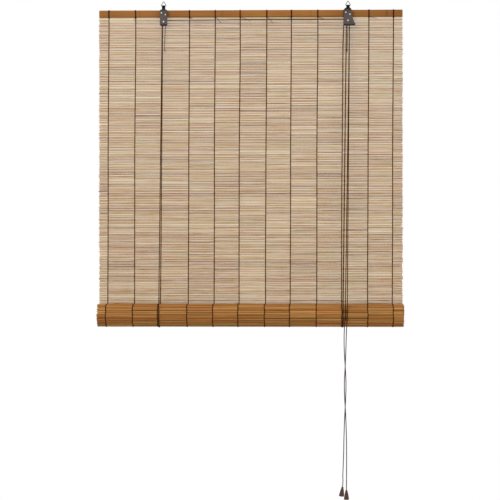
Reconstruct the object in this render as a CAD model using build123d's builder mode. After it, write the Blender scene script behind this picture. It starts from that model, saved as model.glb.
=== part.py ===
from build123d import *
from math import asin, atan2, cos, degrees, hypot, pi, radians, sin, sqrt, tan
import os

os.makedirs("parts", exist_ok=True)

# A roll-up blind of split bamboo: a head rail on two ring hangers, a reed mat tied with
# twelve warp threads, the lower mat wound up in front, and two cords that lift the roll.
# Front is -Y, up is +Z, millimetres. The origin is midway along the blind, on the line
# that joins the tops of the two hanging rings.

# Driving dimensions of the whole blind
blind_width = 900.0
hanging_drop = 882.0
rail_height = 21.0
rail_depth = 10.0
rail_round = 3.0

# The reed mat: rows of fine sticks, and a plain band where the mat runs on into the roll
row_count = 118
gap_share = 0.27
band_rows = 4
mat_depth = 2.0
web_depth = 1.2
bridge_width = 1.5
rail_gap = 0.3

# Warp threads: the mat's loom spaced them a little unevenly, so each panel has its share
first_thread_inset = 25.0
last_thread_inset = 30.5
panel_shares = (79.2, 73.8, 86.0, 76.0, 74.0, 78.0, 73.5, 78.5, 75.0, 76.0, 74.5)
thread_width = 2.2
thread_depth = 0.8

# The rolled-up part of the mat
roll_height = 67.0
lap_pitch = 4.7
roll_quarters = 18
roll_groove = 0.6
seam_gap = 0.3
lath_depth = 9.0
lath_round = 2.0
core_gap = 0.3

# The two hangers
left_hanger_inset = 192.2
right_hanger_inset = 161.5
ring_wire = 1.8
ring_half = 8.2
ring_rise = 14.0
ring_bend = 1.6
knuckle_rise = 12.0
cage_depth = 10.4
leaf = 0.8
cage_width = 21.4
cage_length = 46.5
left_axle_drop = 35.0
right_axle_drop = 33.0
nail_shank = 2.0
nail_head = 4.0
nail_head_depth = 0.9
nail_bite = 8.5

# Pulleys, their axles and the lock's roller
axle_width = 2.4
axle_head = 4.6
axle_head_depth = 0.9
running_gap = 0.05
side_gap = 0.3
pitch_radius = 4.4
flange_radius = 5.6
groove_spread = 3.8
roller_share = 1.075
roller_teeth = 12
roller_gap = 0.3

# Cords, their knots and the tassels
cord_width = 2.0
tail_width = 1.4
cord_gap = 0.2
end_gap = 0.2
left_cord_shift = -5.8
right_cord_shift = -11.5
pull_cord_shifts = (-9.3, -3.7)
tassel_height = 27.5
tassel_width = 15.0
tassel_neck = 6.4
tassel_bore = 2.6
bell_depth = 15.0
bell_width = 11.0
left_tassel_tilt = 7.0

# Levels and depths worked out from them
first_thread_x = -blind_width / 2 + first_thread_inset
last_thread_x = blind_width / 2 - last_thread_inset
left_hanger_x = -blind_width / 2 + left_hanger_inset
right_hanger_x = blind_width / 2 - right_hanger_inset
rail_top = -(knuckle_rise + ring_rise)
rail_bottom = rail_top - rail_height
rail_front = cage_depth / 2
mat_y = rail_front + rail_depth / 2
mat_top = rail_bottom - rail_gap
roll_z = rail_bottom - hanging_drop
row_pitch = (mat_top - roll_z) / (row_count + band_rows)
row_height = row_pitch * (1 - gap_share)
thread_span = (last_thread_x - first_thread_x) / sum(panel_shares)
thread_xs = [first_thread_x + sum(panel_shares[:i]) * thread_span for i in range(len(panel_shares) + 1)]
cord_radius = cord_width / 2
tail_radius = tail_width / 2


def save(part, label):
    """Names a finished piece and writes it out."""
    part.label = label
    export_step(part, f"parts/{label}.step")
    print(f"{label}: {len(part.solids())} solid(s), {part.volume / 1000:.3f} cm3")


# The roll's spiral: quarter circles about the corners of a small square, each one
# smaller than the last by the square's side, so that the laps stay evenly spaced
step = lap_pitch / 4
outer_radius = (roll_height + 3 * step) / 2
first_centre = (mat_y + mat_depth / 2 - outer_radius, roll_z)
corner_shift = [(0, 0), (0, -step), (-step, -step), (-step, 0)]
roll_centre = (first_centre[0] - step / 2, first_centre[1] - step / 2)


def quarter_centre(quarter):
    """(y, z) of the centre that a quarter turns about, 0 being the one under the mat."""
    dy, dz = corner_shift[quarter % 4]
    return first_centre[0] + dy, first_centre[1] + dz


def spiral_point(quarter, share, lift):
    """(y, z) on the outer face of the wound mat, at a share of a quarter turn."""
    cy, cz = quarter_centre(quarter)
    angle = (quarter + share) * pi / 2
    reach = outer_radius - quarter * step + lift
    return cy + reach * cos(angle), cz - reach * sin(angle)


def groups_in(quarter):
    """How many stick groups one quarter turn of the roll holds."""
    return max(2, round((outer_radius - quarter * step) * pi / 2 / row_pitch))


# Head rail: a bamboo lath with rounded edges, bored for the hanger nails and cord nails
nail_spots = [(-6.3, -9.0), (5.2, -14.4)]
cord_nail_drop = 14.0
cord_nail_reach = 4.2
cord_nail_bite = 6.0
left_top_x = left_hanger_x - pitch_radius
right_top_x = right_hanger_x - pitch_radius
hanger_xs = (left_hanger_x, right_hanger_x)
top_xs = (left_top_x, right_top_x)
left_cord_x = left_top_x + left_cord_shift
right_cord_x = right_top_x + right_cord_shift
pull_cord_xs = [right_hanger_x + shift for shift in pull_cord_shifts]
rail_back = rail_front + rail_depth

with BuildPart() as head_rail:
    with BuildSketch(Plane.YZ.offset(-blind_width / 2)):
        with Locations((mat_y, rail_top - rail_height / 2)):
            RectangleRounded(rail_depth, rail_height, rail_round)
    extrude(amount=blind_width)
    with BuildSketch(Plane.XZ.offset(-rail_front)):
        for x in hanger_xs:
            for dx, dz in nail_spots:
                with Locations((x + dx, rail_top + dz)):
                    Circle(nail_shank / 2 + running_gap)
    extrude(amount=-(nail_bite + 0.3), mode=Mode.SUBTRACT)
    with BuildSketch(Plane.XZ.offset(-rail_back)):
        for x in top_xs:
            with Locations((x, rail_top - cord_nail_drop)):
                Circle(nail_shank / 2 + running_gap)
    extrude(amount=cord_nail_bite + 0.3, mode=Mode.SUBTRACT)
save(head_rail.part, "head_rail")

# Reed mat: eight-sided rows, tied to each other along the two outermost warp threads
bevel = mat_depth / 4
half_depth = mat_depth / 2
half_row = row_height / 2
row_outline = [
    (-half_depth, -half_row + bevel),
    (-half_depth + bevel, -half_row),
    (half_depth - bevel, -half_row),
    (half_depth, -half_row + bevel),
    (half_depth, half_row - bevel),
    (half_depth - bevel, half_row),
    (-half_depth + bevel, half_row),
    (-half_depth, half_row - bevel),
]
row_spots = [(mat_y, mat_top - half_row - i * row_pitch) for i in range(row_count)]
band_top = mat_top - row_count * row_pitch
band_bottom = roll_z + seam_gap / 2
band_height = band_top - band_bottom
ridge_height = band_height / band_rows
band_side = [(half_depth - bevel, 0)]
for i in range(band_rows):
    band_side.append((half_depth, -i * ridge_height - bevel))
    band_side.append((half_depth, -(i + 1) * ridge_height + bevel))
    band_side.append((half_depth - bevel, -(i + 1) * ridge_height))
band_outline = band_side + [(-y, z) for y, z in reversed(band_side)]

with BuildPart() as mat:
    with BuildSketch(Plane.YZ.offset(-blind_width / 2)):
        with Locations(*row_spots):
            Polygon(*row_outline, align=None)
        with Locations((mat_y, band_top)):
            Polygon(*band_outline, align=None)
    extrude(amount=blind_width)
    bridge_drop = mat_top - band_top
    for x in (first_thread_x, last_thread_x):
        with Locations((x, mat_y, mat_top - row_height / 2 - bridge_drop / 2)):
            Box(bridge_width, web_depth, bridge_drop)
save(mat.part, "mat")

# Warp threads: each loops over the rail and runs down both faces of the mat
corner_cut = rail_round * 0.55
tuck_start = rail_bottom + 0.15 * rail_depth
tuck_end = tuck_start - (rail_depth - mat_depth) / 2
thread_end = roll_z + seam_gap / 2


def thread_side(lift):
    """One side of a thread, from its top to its lower end, lifted off rail and mat."""
    rail_side = rail_depth / 2 + lift
    return [
        (rail_depth / 2 - corner_cut, rail_top + lift),
        (rail_side, rail_top - corner_cut),
        (rail_side, tuck_start - 0.4 * lift),
        (half_depth + lift, tuck_end - 0.4 * lift),
        (half_depth + lift, thread_end),
    ]


thread_outer = thread_side(thread_depth)
thread_inner = thread_side(0)
thread_outline = (
    [(-y, z) for y, z in reversed(thread_outer)]
    + thread_outer
    + list(reversed(thread_inner))
    + [(-y, z) for y, z in thread_inner]
)
for i, x in enumerate(thread_xs):
    with BuildPart() as warp_thread:
        with BuildSketch(Plane.YZ.offset(x - thread_width / 2)):
            with Locations((mat_y, 0)):
                Polygon(*thread_outline, align=None)
        extrude(amount=thread_width)
    save(warp_thread.part, f"warp_thread_{i + 1:02d}")

# Rolled-up mat: one ribbon of stick groups wound round the bottom lath
outer_face = []
inner_face = []
ridge_points = []
seam_share = (seam_gap / 2) / (outer_radius * pi / 2)
for quarter in range(roll_quarters):
    count = groups_in(quarter)
    for i in range(count):
        start = i / count
        first = quarter == 0 and i == 0
        side = gap_share / 2 / count
        ridge = (start + side, (i + 1) / count - side)
        if first:
            outer_face.append(spiral_point(0, seam_share, -roll_groove))
            inner_face.append(spiral_point(0, seam_share, -mat_depth))
        else:
            outer_face.append(spiral_point(quarter, start, -roll_groove))
            inner_face.append(spiral_point(quarter, start, -mat_depth))
        outer_face.append(spiral_point(quarter, ridge[0], 0))
        outer_face.append(spiral_point(quarter, ridge[1], 0))
        if quarter < 4:
            ridge_points.append((quarter, ridge[0]))
            ridge_points.append((quarter, ridge[1]))
last = roll_quarters - 1
outer_face.append(spiral_point(last, 1, -roll_groove))
inner_face.append(spiral_point(last, 1, -mat_depth))

with BuildPart() as rolled_mat:
    with BuildSketch(Plane.YZ.offset(-blind_width / 2)):
        Polygon(*outer_face, *reversed(inner_face), align=None)
    extrude(amount=blind_width)
save(rolled_mat.part, "rolled_mat")

# Bottom lath, as wide as the roll's core lets it be, with one corner on the core's wall
cy, cz = roll_centre


def nearest_on(a, b):
    """From the core's centre to the nearest point of the straight face from a to b."""
    run_y, run_z = b[0] - a[0], b[1] - a[1]
    along = ((cy - a[0]) * run_y + (cz - a[1]) * run_z) / (run_y**2 + run_z**2)
    along = min(1, max(0, along))
    return a[0] + along * run_y - cy, a[1] + along * run_z - cz


seats = [nearest_on(a, b) for a, b in zip(inner_face, inner_face[1:])]
seat_y, seat_z = min(seats, key=lambda seat: hypot(*seat))
corner_reach = hypot(seat_y, seat_z) - core_gap - lath_round
corner_y = lath_depth / 2 - lath_round
corner_z = sqrt(corner_reach**2 - corner_y**2)
lath_half = corner_z + lath_round
lath_tilt = degrees(atan2(seat_z, seat_y) - atan2(-corner_z, -corner_y))

with BuildPart() as bottom_lath:
    with BuildSketch(Plane.YZ.offset(-blind_width / 2)):
        with Locations(roll_centre):
            RectangleRounded(lath_depth, 2 * lath_half, lath_round, rotation=lath_tilt)
    extrude(amount=blind_width)
save(bottom_lath.part, "bottom_lath")

# Warp threads on the roll's outer lap, twelve strips in one group
strip_points = ridge_points[:-3]
strip_inner = [spiral_point(q, share, 0) for q, share in strip_points]
strip_outer = [spiral_point(q, share, thread_depth) for q, share in strip_points]
with BuildPart() as roll_threads:
    for x in thread_xs:
        with BuildSketch(Plane.YZ.offset(x - thread_width / 2)):
            Polygon(*strip_outer, *reversed(strip_inner), align=None)
        extrude(amount=thread_width)
save(roll_threads.part, "roll_threads")

# Hangers: one folded strap each, pinched round the ring's wire and spread over a pulley
wire_radius = ring_wire / 2
knuckle_radius = wire_radius + running_gap
knuckle_z = rail_top + knuckle_rise
base_angle = atan2(ring_rise, ring_half)
corner_run = ring_bend / tan(base_angle / 2)
neck_width = 2 * (ring_half - corner_run) - 2 * side_gap
neck_foot = knuckle_rise * 0.3
left_neck_foot = 1.6
left_shoulder = [(1.5, 0.5), (0, -1.8)]
bell_neck_foot = 5.5
bell_shoulder = [(2.6, 3.4), (0.8, 0.3), (0, -3.0)]
fold_drop = 1.5
strap_end = rail_top - cage_length
half_cage = cage_depth / 2
strap_side = [
    (knuckle_radius, knuckle_z),
    (knuckle_radius, rail_top + neck_foot),
    (half_cage - leaf, rail_top - fold_drop),
    (half_cage - leaf, strap_end),
    (half_cage, strap_end),
    (half_cage, rail_top - fold_drop + leaf / 2),
    (knuckle_radius + leaf, rail_top + neck_foot + leaf / 2),
    (knuckle_radius + leaf, knuckle_z),
]
nail_hole = nail_shank / 2 + running_gap
axle_hole = axle_width / 2 + running_gap


def strap_blank(x, reach):
    """The folded strap before its outline is cut: knuckle, pinched neck and two leaves."""
    with BuildPart(mode=Mode.PRIVATE) as blank:
        with BuildSketch(Plane.YZ.offset(x - reach)):
            Polygon(*strap_side, align=None)
            Polygon(*[(-y, z) for y, z in strap_side], align=None)
            with Locations((0, knuckle_z)):
                Circle(knuckle_radius + leaf)
            with Locations((0, knuckle_z)):
                Circle(knuckle_radius, mode=Mode.SUBTRACT)
            with Locations((0, rail_top + neck_foot + (knuckle_z - rail_top - neck_foot) / 2)):
                Rectangle(
                    2 * knuckle_radius, knuckle_z - rail_top - neck_foot, mode=Mode.SUBTRACT
                )
        extrude(amount=2 * reach)
    return blank.part


def neck_and(body):
    """A hanger's outline seen from the front: the neck's two top corners, then the body."""
    crown = knuckle_z + knuckle_radius + 2 * leaf
    return [(-neck_width / 2, crown), (neck_width / 2, crown)] + body


def right_shoulder(half_width, foot, corners):
    """The right side from the neck's foot down to the body, which is half_width wide."""
    side = [(neck_width / 2, rail_top + foot)]
    return side + [(half_width - inset, rail_top + rise) for inset, rise in corners]


def left_shoulder_of(half_width, foot, corners):
    """The same on the left, from the body up to the neck's foot."""
    return [(-x, z) for x, z in reversed(right_shoulder(half_width, foot, corners))]


left_outline = neck_and(
    right_shoulder(cage_width / 2, left_neck_foot, left_shoulder)
    + [
        (cage_width / 2, strap_end + 2.0),
        (cage_width / 2 - 2.0, strap_end),
        (-cage_width / 2 + 2.0, strap_end),
        (-cage_width / 2, strap_end + 2.0),
    ]
    + left_shoulder_of(cage_width / 2, left_neck_foot, left_shoulder)
)


def bores(x, axle_drop):
    """(x, z, radius) of the holes through both leaves: two for nails, one for the axle."""
    nails = [(x + dx, rail_top + dz, nail_hole) for dx, dz in nail_spots]
    return nails + [(x, rail_top - axle_drop, axle_hole)]


left_blank = strap_blank(left_hanger_x, cage_width)
with BuildPart() as left_hanger:
    add(left_blank)
    with BuildSketch(Plane.XZ.offset(cage_depth)):
        with Locations((left_hanger_x, 0)):
            Polygon(*left_outline, align=None)
    extrude(amount=-2 * cage_depth, mode=Mode.INTERSECT)
    with BuildSketch(Plane.XZ.offset(cage_depth)):
        for hole_x, hole_z, radius in bores(left_hanger_x, left_axle_drop):
            with Locations((hole_x, hole_z)):
                Circle(radius)
    extrude(amount=-2 * cage_depth, mode=Mode.SUBTRACT)
save(left_hanger.part, "left_hanger")

# The right hanger is a cord lock: bell shaped, with a slanting flange for its roller
bell_left = 12.3
bell_right = 10.8
flare_top = (bell_right, -19.0)
flare_foot = (21.2, -44.0)
lip_reach = 1.6
lock_outline = neck_and(
    right_shoulder(bell_right, bell_neck_foot, bell_shoulder)
    + [
        (flare_top[0], rail_top + flare_top[1]),
        (flare_foot[0], rail_top + flare_foot[1]),
        (flare_foot[0], strap_end),
        (-bell_left + 2.0, strap_end),
        (-bell_left, strap_end + 2.0),
    ]
    + left_shoulder_of(bell_left, bell_neck_foot, bell_shoulder)
)
flare_run = (flare_foot[0] - flare_top[0], flare_foot[1] - flare_top[1])
flare_length = hypot(*flare_run)
flare_dir = (flare_run[0] / flare_length, flare_run[1] / flare_length)
flare_in = (flare_dir[1], -flare_dir[0])
tab_reach = 3.4


def along_flare(run, inward):
    """(x, z) from the lock's middle, down the slanting flange and in from its outside."""
    return (
        right_hanger_x + flare_top[0] + run * flare_dir[0] + inward * flare_in[0],
        rail_top + flare_top[1] + run * flare_dir[1] + inward * flare_in[1],
    )


flange_outline = [
    along_flare(0, 0),
    along_flare(flare_length, 0),
    along_flare(flare_length, tab_reach),
    along_flare(flare_length - leaf, tab_reach),
    along_flare(flare_length - leaf, leaf),
    along_flare(leaf, leaf),
]
lock_blank = strap_blank(right_hanger_x, 2 * cage_width)
with BuildPart() as cord_lock:
    add(lock_blank)
    with BuildSketch(Plane.XZ.offset(cage_depth)):
        with Locations((right_hanger_x, 0)):
            Polygon(*lock_outline, align=None)
    extrude(amount=-2 * cage_depth, mode=Mode.INTERSECT)
    with BuildSketch(Plane.XZ.offset(half_cage)):
        Polygon(*flange_outline, align=None)
    extrude(amount=-cage_depth)
    with Locations((right_hanger_x + flare_foot[0], -half_cage, strap_end)):
        Box(
            flare_foot[0] + bell_left - 8.0,
            lip_reach,
            leaf,
            align=(Align.MAX, Align.MAX, Align.MIN),
        )
    with BuildSketch(Plane.XZ.offset(cage_depth)):
        for hole_x, hole_z, radius in bores(right_hanger_x, right_axle_drop):
            with Locations((hole_x, hole_z)):
                Circle(radius)
    extrude(amount=-2 * cage_depth, mode=Mode.SUBTRACT)
save(cord_lock.part, "cord_lock")

# Hanging rings: a wire triangle whose base turns in the strap's knuckle
for name, x in (("left_ring", left_hanger_x), ("right_ring", right_hanger_x)):
    with BuildPart() as ring:
        with BuildLine(Plane.XZ) as ring_path:
            FilletPolyline(
                (x + ring_half, knuckle_z),
                (x, knuckle_z + ring_rise),
                (x - ring_half, knuckle_z),
                radius=ring_bend,
                close=True,
            )
        with BuildSketch(Plane(origin=ring_path.line @ 0, z_dir=ring_path.line % 0)):
            Circle(wire_radius)
        sweep(path=ring_path.line)
    save(ring.part, name)

# Nails that hold each hanger to the rail: heads on the front leaf, points in the rail
nail_profile = [
    (0, -half_cage - nail_head_depth),
    (nail_head / 2 - 0.6, -half_cage - nail_head_depth),
    (nail_head / 2, -half_cage - nail_head_depth / 3),
    (nail_head / 2, -half_cage),
    (nail_shank / 2, -half_cage),
    (nail_shank / 2, half_cage + nail_bite - nail_shank),
    (0, half_cage + nail_bite),
]
for name, x in (("left_hanger_nails", left_hanger_x), ("cord_lock_nails", right_hanger_x)):
    with BuildPart() as nails:
        for dx, dz in nail_spots:
            spot = Plane(origin=(x + dx, 0, rail_top + dz), x_dir=(1, 0, 0), z_dir=(0, 0, 1))
            with BuildSketch(spot):
                Polygon(*nail_profile, align=None)
            revolve(axis=Axis((x + dx, 0, rail_top + dz), (0, 1, 0)))
    save(nails.part, name)

# Axles: headed rivets through both leaves
rivet_profile = [
    (0, -half_cage - axle_head_depth),
    (axle_head / 2 - 0.6, -half_cage - axle_head_depth),
    (axle_head / 2, -half_cage - axle_head_depth / 3),
    (axle_head / 2, -half_cage),
    (axle_width / 2, -half_cage),
    (axle_width / 2, half_cage),
    (axle_head / 2, half_cage),
    (axle_head / 2, half_cage + axle_head_depth / 3),
    (axle_head / 2 - 0.6, half_cage + axle_head_depth),
    (0, half_cage + axle_head_depth),
]
axle_spots = (
    ("left_axle", left_hanger_x, rail_top - left_axle_drop),
    ("lock_axle", right_hanger_x, rail_top - right_axle_drop),
)
for name, x, z in axle_spots:
    with BuildPart() as axle:
        with BuildSketch(Plane(origin=(x, 0, z), x_dir=(1, 0, 0), z_dir=(0, 0, 1))):
            Polygon(*rivet_profile, align=None)
        revolve(axis=Axis((x, 0, z), (0, 1, 0)))
    save(axle.part, name)

# Pulleys: turned brass wheels, one groove on the left and two in the lock
hub_radius = 2.6
pulley_half = half_cage - leaf - side_gap
groove_root = pitch_radius - cord_radius - cord_gap
groove_floor = cord_radius * 0.9
groove_mouth = cord_radius + 0.55
rim_land = 0.25


def groove_outline(y):
    """One groove of a pulley in section, from one rim to the other."""
    return [
        (flange_radius, y - groove_mouth - rim_land),
        (flange_radius, y - groove_mouth),
        (groove_root, y - groove_floor),
        (groove_root, y + groove_floor),
        (flange_radius, y + groove_mouth),
        (flange_radius, y + groove_mouth + rim_land),
    ]


def pulley_outline(grooves):
    """A pulley in section from its bore out, with a groove centred on each given depth."""
    rims = [point for y in grooves for point in groove_outline(y)]
    bore = axle_width / 2 + running_gap
    return (
        [(bore, -pulley_half), (hub_radius, -pulley_half)]
        + rims
        + [(hub_radius, pulley_half), (bore, pulley_half)]
    )


lock_grooves = (-groove_spread / 2, groove_spread / 2)
pulley_specs = (("left_pulley", axle_spots[0], (0.0,)), ("lock_pulley", axle_spots[1], lock_grooves))
for name, (_, x, z), grooves in pulley_specs:
    with BuildPart() as pulley:
        with BuildSketch(Plane(origin=(x, 0, z), x_dir=(1, 0, 0), z_dir=(0, 0, 1))):
            Polygon(*pulley_outline(grooves), align=None)
        revolve(axis=Axis((x, 0, z), (0, 1, 0)))
    save(pulley.part, name)

# Lock roller: toothed, and a little too wide for the narrowest place between the slanting
# flange and the cords on the pulley, so that it jams just below that place
axle_x, axle_z = axle_spots[1][1:]
face_x, face_z = along_flare(0, leaf)
flange_reach = (face_x - axle_x) * -flare_in[0] + (face_z - axle_z) * -flare_in[1]
cord_reach = pitch_radius + cord_radius
roller_radius = (flange_reach - cord_reach - 2 * roller_gap) / 2 * roller_share
lane = leaf + roller_gap + roller_radius
lane_reach = flange_reach - roller_gap - roller_radius
pinch_reach = cord_reach + roller_gap + roller_radius
foot_run = (axle_x - face_x) * flare_dir[0] + (axle_z - face_z) * flare_dir[1]
roller_run = foot_run + sqrt(pinch_reach**2 - lane_reach**2)
roller_x, roller_z = along_flare(roller_run, lane)
roller_travel = flare_length - leaf - roller_gap - roller_radius - roller_run
tooth_step = 2 * pi / roller_teeth
roller_outline = []
for i in range(roller_teeth):
    for share, reach in ((-0.3, roller_radius), (0.3, roller_radius), (0.5, roller_radius - 0.5)):
        angle = (i + share) * tooth_step
        roller_outline.append((reach * cos(angle), reach * sin(angle)))
with BuildPart() as lock_roller:
    with BuildSketch(Plane.XZ.offset(-pulley_half)):
        with Locations((roller_x, roller_z)):
            Polygon(*roller_outline, align=None)
    extrude(amount=2 * pulley_half)
save(lock_roller.part, "lock_roller")

# Cord nails in the rail's back: the lift cords' fixed ends are knotted round them
knot_half = 3.0
knot_depth = 2.6
knot_y = rail_back + side_gap + knot_depth / 2
nail_stop = rail_back + cord_nail_reach
cord_nail_profile = [
    (0, rail_back - cord_nail_bite),
    (nail_shank / 2, rail_back - cord_nail_bite + nail_shank),
    (nail_shank / 2, nail_stop - nail_head_depth),
    (nail_head / 2, nail_stop - nail_head_depth),
    (nail_head / 2, nail_stop - nail_head_depth / 3),
    (nail_head / 2 - 0.6, nail_stop),
    (0, nail_stop),
]
knot_z = rail_top - cord_nail_drop
with BuildPart() as cord_nails:
    for x in top_xs:
        with BuildSketch(Plane(origin=(x, 0, knot_z), x_dir=(1, 0, 0), z_dir=(0, 0, 1))):
            Polygon(*cord_nail_profile, align=None)
        revolve(axis=Axis((x, 0, knot_z), (0, 1, 0)))
save(cord_nails.part, "cord_nails")

with BuildPart() as nail_knots:
    with BuildSketch(Plane.XZ.offset(-knot_y - knot_depth / 2)):
        for x in top_xs:
            with Locations((x, knot_z)):
                RectangleRounded(2 * knot_half, 2 * knot_half, 1.6)
                Circle(nail_shank / 2 + cord_gap, mode=Mode.SUBTRACT)
    extrude(amount=knot_depth)
save(nail_knots.part, "nail_knots")


def facing(a, b):
    """The plane across a cord at point a, looking along it to point b."""
    return Plane(origin=a, z_dir=Vector(*b) - Vector(*a))


def span(a, b):
    """How far apart two points are."""
    return (Vector(*b) - Vector(*a)).length


def toward(a, b, run):
    """The point that lies a run away from a, in b's direction."""
    start, end = Vector(*a), Vector(*b)
    return tuple(start + (end - start).normalized() * run)


def route_radii(points):
    """The bend at each inner point of a free cord's route: as large as its runs allow."""
    radii = []
    for a, b, c in zip(points, points[1:], points[2:]):
        before, after = Vector(*b) - Vector(*a), Vector(*c) - Vector(*b)
        half_turn = radians(before.get_angle(after)) / 2
        radii.append(0.45 * min(before.length, after.length) / tan(half_turn))
    return radii


def report_route(label, length, radii, part, radius):
    """Prints a cord's length, its bends and how full its tube is."""
    share = part.volume / (pi * radius**2 * length)
    bends = " ".join(f"{r:.0f}" for r in radii)
    print(f"{label}: length {length:.1f}, volume share {share:.3f}, radii {bends}")


# Where each cord leaves the roll's front to run up to its pulley
sling_lift = cord_radius + cord_gap
front_centre = quarter_centre(2)
front_reach = outer_radius - 2 * step + sling_lift


def front_point(x, top_y, top_z):
    """The point on the roll's front where a cord bound for (top_y, top_z) leaves it, and
    how far past the front that is, in degrees."""
    dy, dz = top_y - front_centre[0], top_z - front_centre[1]
    angle = atan2(dy, dz) + asin(front_reach / hypot(dy, dz))
    point = (x, front_centre[0] - front_reach * cos(angle), front_centre[1] + front_reach * sin(angle))
    return point, degrees(angle)


left_axle_z = axle_spots[0][2]
lock_axle_z = axle_spots[1][2]
lead_drop = 2.0
lead_run = 12.0
lead_bend = 40.0
wrap_bend = pitch_radius - 0.02
front_y, back_y = lock_grooves
left_lead = (left_top_x, 0.0, left_axle_z - lead_drop)
lock_lead = (right_top_x, back_y, lock_axle_z - lead_drop)
pull_leads = (
    (right_hanger_x + pitch_radius, front_y, lock_axle_z - lead_drop),
    (right_hanger_x + pitch_radius, back_y, lock_axle_z - lead_drop),
)
left_front, left_angle = front_point(left_cord_x, 0.0, left_axle_z - lead_drop)
right_front, right_angle = front_point(right_cord_x, back_y, lock_axle_z - lead_drop)
pull_fronts = [
    front_point(x, lead[1], lead[2])[0] for x, lead in zip(pull_cord_xs, pull_leads)
]

# Lift cords: down behind the mat, under the roll, and up in front to the pulleys
sling_start_y = mat_y + half_depth + sling_lift
lift_specs = (
    ("left", left_top_x, left_cord_x, left_front, left_angle, left_lead),
    ("right", right_top_x, right_cord_x, right_front, right_angle, lock_lead),
)
for side_name, top_x, roll_x, front, angle, lead in lift_specs:
    knot_foot = (top_x, knot_y, knot_z - knot_half - end_gap)
    sling_top = (roll_x, sling_start_y, roll_z + end_gap)
    with BuildPart() as back_cord:
        with BuildSketch(facing(knot_foot, sling_top)):
            Circle(cord_radius)
        extrude(amount=span(knot_foot, sling_top))
    save(back_cord.part, f"back_cord_{side_name}")

    with BuildPart() as sling:
        with BuildLine(Plane.YZ.offset(roll_x)) as sling_path:
            for quarter, sweep_angle in ((0, 90), (1, 90), (2, angle)):
                reach = outer_radius - quarter * step + sling_lift
                CenterArc(quarter_centre(quarter), reach, -90 * quarter, -sweep_angle)
        with BuildSketch(Plane(origin=(roll_x, sling_start_y, roll_z), z_dir=(0, 0, -1))):
            Circle(cord_radius)
        sweep(path=sling_path.line)
    save(sling.part, f"sling_{side_name}")

    foot = toward(front, lead, end_gap)
    head = toward(lead, front, lead_run)
    with BuildPart() as front_cord:
        with BuildSketch(facing(foot, head)):
            Circle(cord_radius)
        extrude(amount=span(foot, head))
    save(front_cord.part, f"front_cord_{side_name}")

# Cross cord: over the left pulley, across the blind, and down over the lock's pulley
cross_points = [
    toward(left_lead, left_front, lead_run),
    left_lead,
    (left_top_x, 0.0, left_axle_z + pitch_radius),
    (right_hanger_x + pitch_radius, front_y, lock_axle_z + pitch_radius),
    pull_leads[0],
    toward(pull_leads[0], pull_fronts[0], lead_run),
]
wrap_radii = [lead_bend, wrap_bend, wrap_bend, lead_bend]
with BuildPart() as cross_cord:
    with BuildLine() as cross_path:
        FilletPolyline(*cross_points, radius=wrap_radii)
    with BuildSketch(facing(cross_points[0], cross_points[1])):
        Circle(cord_radius)
    sweep(path=cross_path.line)
report_route("cross_cord", cross_path.wire().length, wrap_radii, cross_cord.part, cord_radius)
save(cross_cord.part, "cross_cord")

# Lock cord: the right lift cord's turn over the lock's second groove
lock_points = [
    toward(lock_lead, right_front, lead_run),
    lock_lead,
    (right_top_x, back_y, lock_axle_z + pitch_radius),
    (right_hanger_x + pitch_radius, back_y, lock_axle_z + pitch_radius),
    pull_leads[1],
    toward(pull_leads[1], pull_fronts[1], lead_run),
]
with BuildPart() as lock_cord:
    with BuildLine() as lock_path:
        FilletPolyline(*lock_points, radius=wrap_radii)
    with BuildSketch(facing(lock_points[0], lock_points[1])):
        Circle(cord_radius)
    sweep(path=lock_path.line)
report_route("lock_cord", lock_path.wire().length, wrap_radii, lock_cord.part, cord_radius)
save(lock_cord.part, "lock_cord")

# Pull cords: tight down to the roll's front, then hanging free to the tassels
for name, lead, front in zip(("a", "b"), pull_leads, pull_fronts):
    head = toward(lead, front, lead_run)
    foot = toward(front, lead, end_gap)
    with BuildPart() as pull_cord_upper:
        with BuildSketch(facing(head, foot)):
            Circle(cord_radius)
        extrude(amount=span(head, foot))
    save(pull_cord_upper.part, f"pull_cord_upper_{name}")

# Tassels: turned wooden bells, bored for the cord and hollow below, each over its knot
tassel_profile = [
    (tassel_bore / 2, 0),
    (tassel_neck / 2 - 0.8, 0),
    (tassel_neck / 2, -0.8),
    (tassel_neck / 2, -3.5),
    (tassel_neck / 2 - 0.6, -4.5),
    (tassel_neck / 2 + 1.4, -9.0),
    (tassel_width / 2 - 1.2, -16.0),
    (tassel_width / 2, -tassel_height + 3.0),
    (tassel_width / 2, -tassel_height + 0.8),
    (tassel_width / 2 - 0.8, -tassel_height),
    (bell_width / 2, -tassel_height),
    (bell_width / 2 - 2.0, -tassel_height + bell_depth),
    (tassel_bore / 2, -tassel_height + bell_depth),
]
tassel_roof = tassel_height - bell_depth
knot_top = tassel_roof + cord_gap
tassel_knot_radius = 2.6
tassel_knot_height = 4.6
tassel_knot_profile = [
    (0, -knot_top),
    (tassel_knot_radius * 0.7, -knot_top),
    (tassel_knot_radius, -knot_top - tassel_knot_height * 0.35),
    (tassel_knot_radius, -knot_top - tassel_knot_height * 0.65),
    (tassel_knot_radius * 0.5, -knot_top - tassel_knot_height),
    (0, -knot_top - tassel_knot_height),
]
front_y0 = front_centre[0] - front_reach
tassel_a = (right_hanger_x - 17.5, front_y0 - 0.4, roll_z - 502.4)
tassel_b = (right_hanger_x - 6.1, front_y0 - 1.2, roll_z - 511.8)
tassel_places = (
    ("a", Pos(*tassel_a) * Rot(0, left_tassel_tilt, 0)),
    ("b", Pos(*tassel_b)),
)
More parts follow.
